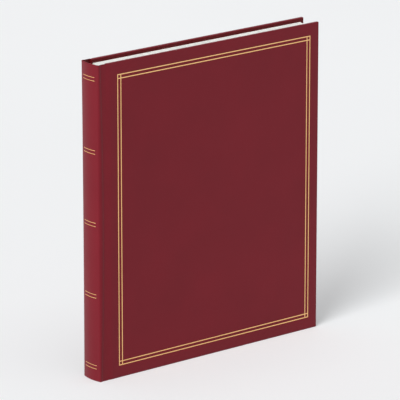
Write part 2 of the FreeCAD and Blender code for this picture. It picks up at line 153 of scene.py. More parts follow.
class AlbumColours(bpy.types.PropertyGroup):
    """Colours of the album's finishes."""
    leatherette: colour("Leatherette", "Dark red covering", (0.190, 0.0077, 0.0167))
    # Painted shade: the colour below darkens the covering's inner side, standing in for the shade
    # inside the covers.
    inside_shade: colour("Turned-in side", "Unfaded covering on the inside", (0.098, 0.0005, 0.0020))
    # Partly wear, partly painted shade: the colour below darkens the rounded edges in uneven
    # patches, standing in for the shade along them.
    edge_wear_and_shade: colour("Rubbed edge", "Covering where hands have polished it", (0.140, 0.0030, 0.0090))
    gold: colour("Gold foil", "Pressed lines on cover and spine", (0.98, 0.60, 0.255))
    gold_worn: colour("Thin gold", "Foil where it is thin", (0.80, 0.43, 0.16))
    leaf: colour("Leaf card", "White stock card", (0.93, 0.94, 0.91))
    endpaper: colour("Endpaper", "Ivory paper inside the covers", (0.80, 0.77, 0.69))
    linen: colour("Linen", "Woven hinge of each leaf", (0.74, 0.72, 0.66))
    film: colour("Pocket film", "Clear strips that hold the stamps", (0.92, 0.95, 0.97))
    glassine: colour("Glassine", "Thin sheets between the leaves", (0.84, 0.86, 0.84))
    board: colour("Board", "Grey board under the covering", (0.23, 0.21, 0.19))
    thread: colour("Thread", "Sewing thread", (0.72, 0.68, 0.58))
    floor: colour("Floor", "Pale studio floor", (0.757, 0.769, 0.781))


# Nodes and materials

FLOAT = "NodeSocketFloat"
COLOR = "NodeSocketColor"
VECTOR = "NodeSocketVector"
WHITE = (1.0, 1.0, 1.0, 1.0)
FILM_SHADE = (0.82, 0.87, 0.90, 1.0)
GLASSINE_SHADE = (0.74, 0.77, 0.75, 1.0)
# White added to the floor where it is seen, and how far the grain's pebbles stray.
FLOOR_LIFT = 0.17
PEBBLE_WANDER = 0.4 * MM

# Fine patterns, as repeats in a metre.
FOIL_RIPPLE = 1800.0
FILM_RIPPLE = 60.0
LINEN_SLUB = 900.0
THREAD_TWIST = 900.0
EDGE_PATCHES = 140.0


def fill(tree, node, values):
    """Gives a node's inputs plain values, or links from other sockets."""
    for key, value in values.items():
        if isinstance(value, bpy.types.NodeSocket):
            tree.links.new(value, node.inputs[key])
        else:
            node.inputs[key].default_value = value


def add_node(tree, kind, values=None, **settings):
    """Adds a node, sets it up and fills its inputs."""
    made = tree.nodes.new(kind)
    for key, value in settings.items():
        setattr(made, key, value)
    fill(tree, made, values or {})
    return made


def calc(tree, operation, first, second=0.0):
    """The result socket of one sum."""
    return add_node(tree, "ShaderNodeMath", {0: first, 1: second}, operation=operation).outputs[0]


def calc_vector(tree, operation, values):
    """The result socket of one sum of vectors."""
    return add_node(tree, "ShaderNodeVectorMath", values, operation=operation).outputs[0]


def mix_colour(tree, factor, first, second):
    """The result socket of two colours mixed."""
    values = {0: factor, 6: first, 7: second}
    return add_node(tree, "ShaderNodeMix", values, data_type="RGBA").outputs[2]


def to_range(tree, value, old, new):
    """A value carried from one range to another, clamped."""
    values = {"Value": value, "From Min": old[0], "From Max": old[1],
              "To Min": new[0], "To Max": new[1]}
    return add_node(tree, "ShaderNodeMapRange", values).outputs["Result"]


def noise(tree, vector, scale, detail=2.0, roughness=0.5):
    """The value socket of a noise texture."""
    values = {"Vector": vector, "Scale": scale, "Detail": detail, "Roughness": roughness}
    return add_node(tree, "ShaderNodeTexNoise", values).outputs[0]


def shade(finish, share=1.0):
    """A colour property as four numbers, darkened to a share of itself."""
    return (*(channel * share for channel in finish), 1.0)


def bump(tree, height, distance, strength):
    """The normal socket of a height map that stands that distance high."""
    values = {"Height": height, "Distance": distance, "Strength": strength}
    return add_node(tree, "ShaderNodeBump", values).outputs[0]


def grain_effect(tree, given):
    """Embossed pebble grain with fine pores."""
    place = given["Vector"]
    scale = calc(tree, "DIVIDE", 1.0, given["Pebble"])
    wander = add_node(tree, "ShaderNodeTexNoise", {"Vector": place, "Scale": scale, "Detail": 1.0})
    drawn = calc_vector(tree, "SCALE", {0: wander.outputs["Color"], "Scale": PEBBLE_WANDER})
    moved = calc_vector(tree, "ADD", {0: place, 1: drawn})
    pebbles = add_node(tree, "ShaderNodeTexVoronoi", {"Vector": moved, "Scale": scale},
                       feature="DISTANCE_TO_EDGE").outputs["Distance"]
    dome = to_range(tree, pebbles, (0.0, 0.35), (0.0, 1.0))
    pores = noise(tree, place, calc(tree, "MULTIPLY", scale, 3.1))
    return {
        "Height": calc(tree, "ADD", dome, calc(tree, "MULTIPLY", pores, 0.35)),
        "Crease": to_range(tree, pebbles, (0.0, 0.12), (1.0, 0.0)),
    }


def drift_effect(tree, given):
    """Slow wandering of a colour between two tones."""
    patches = noise(tree, given["Vector"], calc(tree, "DIVIDE", 1.0, given["Patch"]), 3.0, 0.55)
    value = to_range(tree, patches, (0.32, 0.68), (0.0, 1.0))
    share = calc(tree, "MULTIPLY", value, given["Amount"])
    return {"Color": mix_colour(tree, share, given["Base"], given["Other"]), "Value": value}


def fibre_effect(tree, given):
    """Matted fibres of paper and card, with a few flecks."""
    scale = calc(tree, "DIVIDE", 1.0, given["Fibre"])
    stretch = calc_vector(tree, "MULTIPLY", {0: given["Vector"], 1: (1.0, 1.0, 0.35)})
    along = noise(tree, stretch, scale, 4.0, 0.65)
    across = noise(tree, given["Vector"], calc(tree, "MULTIPLY", scale, 0.7), 3.0, 0.6)
    specks = noise(tree, stretch, calc(tree, "MULTIPLY", scale, 0.45))
    return {
        "Height": calc(tree, "ADD", along, across),
        "Fleck": to_range(tree, specks, (0.66, 0.76), (0.0, 1.0)),
    }


def weave_effect(tree, given):
    """Plain weave: threads pass over and under one another in turn."""
    parts = add_node(tree, "ShaderNodeSeparateXYZ", {0: given["Vector"]}).outputs
    turn = calc(tree, "DIVIDE", math.pi, given["Thread"])
    warp = calc(tree, "SINE", calc(tree, "MULTIPLY", parts["X"], turn))
    weft = calc(tree, "SINE", calc(tree, "MULTIPLY", parts["Y"], turn))
    over = calc(tree, "GREATER_THAN", calc(tree, "MULTIPLY", warp, weft), 0.0)
    warp_round = calc(tree, "ABSOLUTE", warp)
    weft_round = calc(tree, "ABSOLUTE", weft)
    threads = add_node(tree, "ShaderNodeMix", {0: over, 2: warp_round, 3: weft_round}).outputs[0]
    slub = calc(tree, "MULTIPLY", noise(tree, given["Vector"], LINEN_SLUB), 0.4)
    closeness = calc(tree, "MULTIPLY", warp_round, weft_round)
    return {
        "Height": calc(tree, "ADD", threads, slub),
        "Gap": to_range(tree, closeness, (0.0, 0.3), (1.0, 0.0)),
    }


def edge_wear_shade_effect(tree, given):
    """Uneven patches along an edge, where the covering is worn and where the leatherette paints
    shade on its edges.
    """
    uneven = noise(tree, given["Vector"], EDGE_PATCHES, 4.0, 0.6)
    patches = to_range(tree, uneven, (0.35, 0.65), (0.25, 1.0))
    strength = calc(tree, "MULTIPLY", given["Edge"], given["Amount"])
    return {"Mask": calc(tree, "MULTIPLY", strength, patches)}


# Each shared effect with its inputs and outputs.
EFFECTS = {
    "Leather Grain": (
        grain_effect,
        {"Vector": VECTOR, "Pebble": FLOAT},
        {"Height": FLOAT, "Crease": FLOAT}),
    "Tone Drift": (
        drift_effect,
        {"Vector": VECTOR, "Patch": FLOAT, "Base": COLOR, "Other": COLOR, "Amount": FLOAT},
        {"Color": COLOR, "Value": FLOAT}),
    "Paper Fibre": (
        fibre_effect,
        {"Vector": VECTOR, "Fibre": FLOAT},
        {"Height": FLOAT, "Fleck": FLOAT}),
    "Plain Weave": (
        weave_effect,
        {"Vector": VECTOR, "Thread": FLOAT},
        {"Height": FLOAT, "Gap": FLOAT}),
    "Edge Wear And Shade": (
        edge_wear_shade_effect,
        {"Vector": VECTOR, "Edge": FLOAT, "Amount": FLOAT},
        {"Mask": FLOAT}),
}


def make_group(name):
    """Builds a shared effect as a shader node group with named sockets."""
    effect, inputs, outputs = EFFECTS[name]
    group = bpy.data.node_groups.new(name, "ShaderNodeTree")
    for way, sockets in (("INPUT", inputs), ("OUTPUT", outputs)):
        for label, kind in sockets.items():
            group.interface.new_socket(name=label, in_out=way, socket_type=kind)
    given = group.nodes.new("NodeGroupInput").outputs
    fill(group, group.nodes.new("NodeGroupOutput"), effect(group, given))
    return group


def use_group(tree, name, values):
    """Places a shared effect in a material, with this material's own values."""
    group = bpy.data.node_groups.get(name) or make_group(name)
    return add_node(tree, "ShaderNodeGroup", values, node_tree=group).outputs


def drift_between(tree, vector, base, other, patch, amount):
    """A colour that wanders from its base towards another tone, in patches of about that size."""
    return use_group(tree, "Tone Drift", {
        "Vector": vector, "Patch": patch, "Base": base, "Other": other, "Amount": amount})


def finish_named(name, look, *values, coordinates="Object", **settings):
    """The material of that name, made the first time with the shader inputs that its look gives."""
    made = bpy.data.materials.get(name)
    if made is None:
        made = bpy.data.materials.new(name)
        made.use_nodes = True
        tree = made.node_tree
        place = tree.nodes.new("ShaderNodeTexCoord").outputs[coordinates]
        fill(tree, tree.nodes["Principled BSDF"], look(tree, place, *values, **settings))
    return made


def leatherette_look(tree, place, sizes, colours):
    """Smooth satin leatherette with a fine pressed grain; painted shade darkens its inner side, and
    wear with painted shade darkens its edges.
    """
    deeper = shade(colours.leatherette, 0.86)
    grain = use_group(tree, "Leather Grain", {"Vector": place, "Pebble": sizes.grain_size})
    drift = drift_between(tree, place, shade(colours.leatherette), deeper,
                          patch=50 * MM, amount=0.7)
    edge_and_inside_mark = add_node(tree, "ShaderNodeAttribute", attribute_name="wear_shade_mark").outputs["Fac"]
    # Painted shade: the inner side, marked -1, takes a darker tone that stands in for the shade
    # inside the covers.
    inside = to_range(tree, edge_and_inside_mark, (-1.0, 0.0), (1.0, 0.0))
    shaded_inside = mix_colour(tree, inside, drift["Color"], shade(colours.inside_shade))
    # The edges, marked 1, darken in uneven patches: wear together with painted shade along the
    # rounded edges.
    edge = to_range(tree, edge_and_inside_mark, (0.0, 1.0), (0.0, 1.0))
    wear_shade_mark = use_group(tree, "Edge Wear And Shade", {"Vector": place, "Edge": edge, "Amount": 0.8})
    worn_and_shaded = mix_colour(tree, wear_shade_mark["Mask"], shaded_inside, shade(colours.edge_wear_and_shade))
    # Painted shade: the creases between the grain's pebbles are darkened towards the deeper tone.
    creased = calc(tree, "MULTIPLY", grain["Crease"], 0.25)
    return {
        "Base Color": mix_colour(tree, creased, worn_and_shaded, deeper),
        "Roughness": to_range(tree, grain["Height"], (0.2, 1.3), (0.56, 0.44)),
        "Specular IOR Level": 0.20,
        "Sheen Weight": 0.14,
        "Sheen Roughness": 0.37,
        "Normal": bump(tree, grain["Height"], distance=0.03 * MM, strength=0.6),
    }


def gold_look(tree, place, colours):
    """Hot-pressed gold foil, a little uneven."""
    drift = drift_between(tree, place, shade(colours.gold), shade(colours.gold_worn),
                          patch=6 * MM, amount=0.35)
    return {
        "Base Color": drift["Color"],
        "Roughness": to_range(tree, drift["Value"], (0.0, 1.0), (0.30, 0.46)),
        "Metallic": 0.85,
        "Normal": bump(tree, noise(tree, place, FOIL_RIPPLE), distance=0.02 * MM, strength=0.5),
    }


def paper_look(tree, place, tone, fibre=1.2 * MM, fleck_share=0.12, relief=0.02 * MM, rough=0.85):
    """Matt paper or card with matted fibres and faint flecks."""
    fibres = use_group(tree, "Paper Fibre", {"Vector": place, "Fibre": fibre})
    drift = drift_between(tree, place, shade(tone), shade(tone, 0.93), patch=30 * MM, amount=0.5)
    flecks = calc(tree, "MULTIPLY", fibres["Fleck"], fleck_share)
    return {
        "Base Color": mix_colour(tree, flecks, drift["Color"], shade(tone, 0.78)),
        "Roughness": to_range(tree, fibres["Height"], (0.5, 1.5), (rough + 0.07, rough - 0.05)),
        "Specular IOR Level": 0.25,
        "Normal": bump(tree, fibres["Height"], distance=relief, strength=0.5),
    }


def linen_look(tree, place, tone, thread):
    """Plain woven linen."""
    weave = use_group(tree, "Plain Weave", {"Vector": place, "Thread": thread})
    drift = drift_between(tree, place, shade(tone), shade(tone, 0.86), patch=8 * MM, amount=0.6)
    # Painted shade: the gaps between the threads are darkened.
    gaps = calc(tree, "MULTIPLY", weave["Gap"], 0.5)
    return {
        "Base Color": mix_colour(tree, gaps, drift["Color"], shade(tone, 0.55)),
        "Roughness": to_range(tree, weave["Height"], (0.0, 1.3), (0.95, 0.8)),
        "Specular IOR Level": 0.2,
        "Normal": bump(tree, weave["Height"], distance=0.05 * MM, strength=0.7),
    }


def lining_look(tree, place, tone, thread):
    """Open woven lining cloth, in the upright plane across the spine."""
    parts = add_node(tree, "ShaderNodeSeparateXYZ", {0: place}).outputs
    plane = add_node(tree, "ShaderNodeCombineXYZ", {"X": parts["Y"], "Y": parts["Z"]}).outputs[0]
    weave = use_group(tree, "Plain Weave", {"Vector": plane, "Thread": thread * 2})
    return {
        # Painted shade: the gaps of the open weave are darkened.
        "Base Color": mix_colour(tree, weave["Gap"], shade(tone), shade(tone, 0.5)),
        "Roughness": 0.9,
        "Normal": bump(tree, weave["Height"], distance=0.1 * MM, strength=0.7),
    }


def thread_look(tree, place, tone):
    """Twisted sewing thread."""
    values = {"Vector": place, "Scale": THREAD_TWIST, "Distortion": 1.0}
    twist = add_node(tree, "ShaderNodeTexWave", values, bands_direction="DIAGONAL").outputs["Fac"]
    # Painted shade: the grooves of the twist are darker.
    return {
        "Base Color": mix_colour(tree, twist, shade(tone, 0.7), shade(tone)),
        "Roughness": 0.75,
        "Normal": bump(tree, twist, distance=0.05 * MM, strength=0.6),
    }


def film_look(tree, place, tone):
    """Clear glossy pocket film, whiter along its sealed lines and along the open top edge, where
    the white is a painted highlight.
    """
    weld_and_highlight = add_node(tree, "ShaderNodeAttribute", attribute_name="weld_and_highlight").outputs["Fac"]
    drift = drift_between(tree, place, shade(tone), FILM_SHADE, patch=40 * MM, amount=0.6)
    ripple = noise(tree, place, FILM_RIPPLE, 1.0)
    return {
        "Base Color": drift["Color"],
        "Alpha": to_range(tree, weld_and_highlight, (0.0, 1.0), (0.10, 0.42)),
        "Roughness": to_range(tree, weld_and_highlight, (0.0, 1.0), (0.08, 0.35)),
        "Normal": bump(tree, ripple, distance=0.2 * MM, strength=0.25),
    }


def glassine_look(tree, place, tone):
    """Thin translucent paper between the leaves."""
    fibres = use_group(tree, "Paper Fibre", {"Vector": place, "Fibre": 2 * MM})
    drift = drift_between(tree, place, shade(tone), GLASSINE_SHADE, patch=30 * MM, amount=0.5)
    return {
        "Base Color": drift["Color"],
        "Alpha": to_range(tree, fibres["Height"], (0.5, 1.5), (0.42, 0.52)),
        "Roughness": to_range(tree, fibres["Height"], (0.5, 1.5), (0.40, 0.30)),
        "Normal": bump(tree, fibres["Height"], distance=0.03 * MM, strength=0.3),
    }


def shown_rays(tree):
    """1 for the rays that show a surface itself, in the view, a mirror or a glass."""
    path = tree.nodes.new("ShaderNodeLightPath").outputs
    seen = calc(tree, "MAXIMUM", path["Is Camera Ray"], path["Is Glossy Ray"])
    return calc(tree, "MAXIMUM", seen, path["Is Transmission Ray"])


def floor_look(tree, place, tone):
    """Matt pale studio floor, lifted towards white where it is seen or mirrored."""
    drift = drift_between(tree, place, shade(tone), shade(tone, 0.985), patch=0.6, amount=1.0)
    return {
        "Base Color": drift["Color"],
        "Roughness": 0.9,
        "Specular IOR Level": 0.1,
        "Emission Color": WHITE,
        "Emission Strength": calc(tree, "MULTIPLY", shown_rays(tree), FLOOR_LIFT),
    }


def dress_node(name, material):
    """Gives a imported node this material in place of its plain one."""
    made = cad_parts[name]
    if not made.material_slots:
        made.data.materials.append(material)
    for holder in made.material_slots:
        holder.material = material


# Meshes

# Steps of a rounded edge, and the distance at which two places are the same.
ARC_STEPS = 6
CLOSE = 1e-7
# Share of a thickness that its rounding may take, where a bevel has its middle ring, and how
# strongly large faces steer the shading.
EDGE_SHARE = 0.48
BEVEL_MIDDLE = 0.3
FACE_WEIGHT = 90


def smooth_step(low, high, value):
    """0 below low, 1 above high, and smooth between."""
    share = min(1.0, max(0.0, (value - low) / (high - low)))
    return share * share * (3.0 - 2.0 * share)


def spread(low, high, count):
    """That many equal steps from low to high, both ends included."""
    return [low + (high - low) * step / count for step in range(count + 1)]


QUARTER = spread(0.0, math.pi / 2, ARC_STEPS)


def spaced(stops, low, high, gap):
    """The stops with more between them, so that none is further than gap from the next."""
    ends = sorted([low] + stops + [high])
    more = []
    for here, after in zip(ends, ends[1:]):
        count = max(1, math.ceil((after - here) / gap))
        more += spread(here, after, count)[:-1]
    return more[1:]


def level(value):
    """A shift that is the same at every height."""
    return lambda height: value


def wrap_loop(outer, inner, bottom, top, radius, heights,
              shrink=1.0, press=level(0.0), sink=level(0.0)):
    """One loop of a sheet or a covered board, going up its outer side and down its inner side.

    The loop's four edges are rounded. press and sink say how far the outer and the inner side are
    pushed into the sheet at a height, and shrink draws the rounding in towards a rounded end. Each
    point comes with a mark: 1 on an edge, 0 on the outer side and -1 on the inner side; the
    leatherette paints shade on its inner side, and wear with painted shade on its edges.
    """
    across = inner - outer
    thickness = across.length
    across = across / thickness
    rounding = radius * shrink
    drawn = radius - rounding
    edge = 1.0 - shrink
    far = thickness - radius
    low = bottom + radius
    high = top - radius
    stops = [low] + heights + [high]
    points = []

    def put(depth, height, wear_shade_mark):
        place = outer + across * depth
        points.append((place.x, place.y, height, wear_shade_mark))

    for height in stops:
        put(drawn + press(height), height, edge)
    fallen = rounding - press(high)
    for turn in QUARTER[1:]:
        put(radius - fallen * math.cos(turn), high + rounding * math.sin(turn), 1.0)
    for turn in QUARTER[:-1]:
        put(far + rounding * math.sin(turn), high + rounding * math.cos(turn), 1.0)
    for height in reversed(stops):
        put(thickness - drawn - sink(height), height, edge - shrink)
    for turn in QUARTER[1:]:
        put(far + rounding * math.cos(turn), low - rounding * math.sin(turn), 1.0)
    fallen = rounding - press(low)
    for turn in QUARTER[:-1]:
        put(radius - fallen * math.sin(turn), low - rounding * math.cos(turn), 1.0)
    return points


def piece_from(bm, name, material, smooth=True):
    """Turns finished geometry into a named piece with flat coordinates and one material."""
    bmesh.ops.remove_doubles(bm, verts=bm.verts[:], dist=CLOSE)
    bmesh.ops.recalc_face_normals(bm, faces=bm.faces[:])
    flat = bm.loops.layers.uv.new("flat")
    for face in bm.faces:
        face.smooth = smooth
        for loop in face.loops:
            loop[flat].uv = (loop.vert.co.x, loop.vert.co.z)
    mesh = bpy.data.meshes.new(name)
    bm.to_mesh(mesh)
    bm.free()
    mesh.materials.append(material)
    made = bpy.data.objects.new(name, mesh)
    bpy.context.scene.collection.objects.link(made)
    if smooth:
        weigh = made.modifiers.new("Even shading", "WEIGHTED_NORMAL")
        weigh.weight = FACE_WEIGHT
        weigh.keep_sharp = True
    return made


def cap_wrapped(bm, row):
    """Closes a wrapped loop with faces from its outer side to its inner side, and a sharp edge."""
    count = len(row)
    for step in range(-ARC_STEPS, count // 2 - ARC_STEPS - 1):
        mate = (-2 * ARC_STEPS - 1 - step) % count
        face = bm.faces.new((row[step], row[step + 1], row[mate - 1], row[mate]))
        for edge in face.edges:
            edge.smooth = False


def add_loft(bm, loops, mark=None, wrapped=False):
    """Skins a row of equal loops and closes both ends; mark is the layer for a fourth number."""
    rows = []
    for loop in loops:
        row = []
        for point in loop:
            vert = bm.verts.new(point[:3])
            if mark is not None:
                vert[mark] = point[3]
            row.append(vert)
        rows.append(row)
    count = len(rows[0])
    for near, far in zip(rows, rows[1:]):
        for step in range(count):
            after = (step + 1) % count
            bm.faces.new((near[step], near[after], far[after], far[step]))
    for end in (rows[0], rows[-1]):
        if wrapped:
            cap_wrapped(bm, end)
        else:
            bm.faces.new(end)


def wrapped_piece(name, loops, material):
    """A lofted piece whose edges carry a rub value."""
    bm = bmesh.new()
    add_loft(bm, loops, bm.verts.layers.float.new("wear_shade_mark"), wrapped=True)
    return piece_from(bm, name, material)


def sheet_piece(name, low, high, corner, cut, bevel, material):
    """A flat upright sheet with soft edges, round fore-edge corners and corners cut at the fold."""
    def outline(inset):
        radius = max(corner - inset, bevel)
        points = [(low.x + inset, low.z + cut), (low.x + cut, low.z + inset)]
        for turn in QUARTER:
            points.append((high.x - inset - radius * (1 - math.sin(turn)),
                           low.z + inset + radius * (1 - math.cos(turn))))
        for turn in QUARTER:
            points.append((high.x - inset - radius * (1 - math.cos(turn)),
                           high.z - inset - radius * (1 - math.sin(turn))))
        points += [(low.x + cut, high.z - inset), (low.x + inset, high.z - cut)]
        return points

    middle = BEVEL_MIDDLE * bevel
    layers = [(low.y, bevel), (low.y + middle, middle), (low.y + bevel, 0.0),
              (high.y - bevel, 0.0), (high.y - middle, middle), (high.y, bevel)]
    bm = bmesh.new()
    add_loft(bm, [[(x, y, z) for x, z in outline(inset)] for y, inset in layers])
    return piece_from(bm, name, material)


def on_side(side, along, depth):
    """The plan point at that distance from the shoulder and that depth below a cover's face."""
    return Vector((SHOULDER_X + along, side * (HALF_THICKNESS - depth)))


def on_spine(turn, depth):
    """The plan point at that turn from the spine's middle and that depth below its outer face."""
    radius = SPINE_RADIUS - depth
    return Vector((SPINE_CENTRE - radius * math.cos(turn), radius * math.sin(turn)))


def edge_round(sizes, outer, inner):
    """Rounding of the covering's edge, as far as its thickness allows."""
    return min(sizes.edge_radius, EDGE_SHARE * (inner - outer).length)


# Covering

# Turn at which the shoulder's crest goes over into its tip.
CREST_TURN = math.radians(25.0)
# Along: the seam between spine and cover, the board's edge inside, and the reach of the bow.
SEAM_ALONG = 2.2 * MM
WALL_START = 8.85 * MM
WALL_END = 9.25 * MM
BOW_START = -1.5 * MM
BOW_FULL = 3.5 * MM
# Leatherette turned in over the board's edges, and the window that it leaves for the endpaper.
TURN_IN = 15.0 * MM
TURN_IN_SLOPE = 0.8 * MM
WINDOW_EDGE = TURN_IN + TURN_IN_SLOPE
WINDOW_HEIGHTS = [TURN_IN, WINDOW_EDGE, ALBUM_HEIGHT - WINDOW_EDGE, ALBUM_HEIGHT - TURN_IN]
# Longest face of the covering.
COVER_STRIDE = 25.0 * MM


def shoulder_shape(sizes):
    """Plan centres of the front shoulder's tip and crest, and the turn at the spine arc's end."""
    apart = sizes.crest_radius - sizes.tip_radius
    tip_depth = sizes.crest_depth + sizes.crest_radius - apart * math.cos(CREST_TURN)
    reach = SPINE_RADIUS - sizes.tip_radius
    drop = HALF_THICKNESS - tip_depth
    tip = Vector((SPINE_CENTRE - math.sqrt(reach ** 2 - drop ** 2), -drop))
    crest = tip + apart * Vector((math.sin(CREST_TURN), math.cos(CREST_TURN)))
    return tip, crest, math.asin(drop / reach)


def groove_at(sizes, along):
    """Depth of the covering's outer face, from the shoulder's crest to the cover's face."""
    crest = shoulder_shape(sizes)[1].x - SHOULDER_X
    if along < crest:
        fall = sizes.crest_radius - math.sqrt(sizes.crest_radius ** 2 - (crest - along) ** 2)
        return sizes.crest_depth + fall
    if along > sizes.groove_floor:
        return sizes.groove_depth * (1.0 - smooth_step(sizes.groove_floor, sizes.groove_end, along))
    share = (along - crest) / (sizes.groove_floor - crest)
    return sizes.crest_depth + (sizes.groove_depth - sizes.crest_depth) * share ** 2


def inside_at(sizes, along):
    """Depth of the covering's inner face at a distance from the shoulder."""
    thin = groove_at(sizes, along) + sizes.joint_skin
    return thin + (COVER_THICKNESS - thin) * smooth_step(WALL_START, WALL_END, along)


def window_at(sizes, start, along, height):
    """How far the inside of a cover steps down within the turned-in leatherette, past a start."""
    across = start - CLOSE < along < COVER_LENGTH - WINDOW_EDGE + CLOSE
    low = WINDOW_EDGE - CLOSE
    return sizes.window_step if across and low < height < ALBUM_HEIGHT - low else 0.0


def crown_at(sizes, distance):
    """How far the cover's face has fallen at a distance from an edge."""
    return sizes.crown_depth * (1.0 - smooth_step(0.0, sizes.crown_width, distance))


def bowed(sizes, loops):
    """The loops with the joint's upright lines bent towards the spine at head and tail."""
    moved = []
    for loop in loops:
        row = []
        for x, y, height, wear_shade_mark in loop:
            along = x - SHOULDER_X
            share = smooth_step(BOW_START, BOW_FULL, along)
            share *= 1.0 - smooth_step(sizes.groove_floor, WALL_START, along)
            from_middle = 2.0 * height / ALBUM_HEIGHT - 1.0
            row.append((x - sizes.joint_bow * share * from_middle ** 2, y, height, wear_shade_mark))
        moved.append(row)
    return moved


def border_lines():
    """Centres of the border's upright and level gold lines, along the cover and in height."""
    half = LINE_WIDTH / 2
    low_x = BORDER_LOW.x - SHOULDER_X + half
    high_x = BORDER_HIGH.x - SHOULDER_X - half
    low_z = BORDER_LOW.z + half
    high_z = BORDER_HIGH.z - half
    upright = [low_x, low_x + LINE_PITCH, high_x - LINE_PITCH, high_x]
    flat = [low_z, low_z + LINE_PITCH, high_z - LINE_PITCH, high_z]
    return upright, flat


def band_lines():
    """Heights of the gold lines across the spine."""
    low = BANDS_LOW.z + LINE_WIDTH / 2
    high = BANDS_HIGH.z - LINE_WIDTH / 2 - BAND_PITCH
    starts = spread(low, high, BAND_PAIRS - 1)
    return [start + offset for start in starts for offset in (0.0, BAND_PITCH)]


def line_stops(lines, slope, width=LINE_WIDTH):
    """Stops on both sides of each pressed line, at its floor and at the top of its slopes."""
    half = width / 2
    offsets = (-half - slope, -half, half, half + slope)
    return [line + offset for line in lines for offset in offsets]


def on_line(value, lines, width=LINE_WIDTH):
    """Whether a value lies on one of the lines."""
    return any(abs(value - line) < width / 2 + CLOSE for line in lines)


class ALBUM_OT_cover_skins(bpy.types.Operator):
    """Wrap the front and back boards in leatherette, with a groove at each joint"""
    bl_idname = "album.cover_skins"
    bl_label = "Cover leatherette"

    MARGIN_STEPS = 6
    JOINT_STEPS = 20
    RISE_STEPS = 4
    WALL_STEPS = 6
    RAMP_STEPS = 10

    def execute(self, context):
        sizes = context.scene.album_sizes
        material = finish_named("Leatherette", leatherette_look, sizes, context.scene.album_colours)
        for label, side in SIDES:
            lined = label == "front"
            heights, stops = self.grid(sizes, lined)
            loops = [self.loop_at(sizes, side, along, heights, lined) for along in stops]
            loops += self.fore_edge(sizes, side, heights)
            skin = wrapped_piece(label + "_cover_skin", bowed(sizes, loops), material)
            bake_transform(skin)
            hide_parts(label + "_cover_leather")
        return {"FINISHED"}

    def grid(self, sizes, lined):
        """Heights, and distances from the shoulder, at which the covering has its points."""
        upright, flat = border_lines()
        radius = sizes.edge_radius
        margin = spread(radius, sizes.crown_width, self.MARGIN_STEPS)[1:]
        rows = WINDOW_HEIGHTS + margin + [ALBUM_HEIGHT - stop for stop in margin]
        columns = [COVER_LENGTH - stop for stop in [WINDOW_EDGE, TURN_IN] + margin]
        if lined:
            rows += line_stops(flat, sizes.line_slope)
            columns += line_stops(upright, sizes.line_slope)
        heights = spaced(rows, radius, ALBUM_HEIGHT - radius, COVER_STRIDE)
        stops = spread(SEAM_ALONG, sizes.groove_floor, self.JOINT_STEPS)
        stops += spread(sizes.groove_floor, WALL_START, self.RISE_STEPS)[1:]
        stops += spread(WALL_START, WALL_END, self.WALL_STEPS)[1:]
        stops += spread(WALL_END, sizes.groove_end, self.RAMP_STEPS)[1:]
        stops += spaced(columns, sizes.groove_end, COVER_LENGTH - radius, COVER_STRIDE)
        return heights, stops

    def loop_at(self, sizes, side, along, heights, lined):
        """The covering's loop at one distance from the shoulder."""
        upright, flat = border_lines()
        half = LINE_WIDTH / 2
        outer = on_side(side, along, groove_at(sizes, along))
        inner = on_side(side, along, inside_at(sizes, along))
        in_border = lined and upright[0] - half - CLOSE < along < upright[-1] + half + CLOSE
        column = on_line(along, upright)
        crowned = smooth_step(sizes.groove_end, sizes.groove_end + sizes.crown_width, along)

        def press(height):
            if in_border and (on_line(height, flat) or (column and flat[0] < height < flat[-1])):
                return sizes.line_press
            nearest = min(height, ALBUM_HEIGHT - height, COVER_LENGTH - along)
            return crowned * crown_at(sizes, nearest)

        return wrap_loop(outer, inner, 0.0, ALBUM_HEIGHT, edge_round(sizes, outer, inner), heights,
                         press=press, sink=partial(window_at, sizes, sizes.groove_end, along))

    def fore_edge(self, sizes, side, heights):
        """Loops that round the covering off at the fore-edge."""
        radius = sizes.edge_radius
        loops = []
        for turn in QUARTER:
            along = COVER_LENGTH - radius * (1.0 - math.sin(turn))
            outer = on_side(side, along, 0.0)
            inner = on_side(side, along, COVER_THICKNESS)
            left = math.cos(turn)
            loops.append(wrap_loop(outer, inner, 0.0, ALBUM_HEIGHT, radius, heights,
                                   shrink=left, press=level(left * sizes.crown_depth)))
        return loops


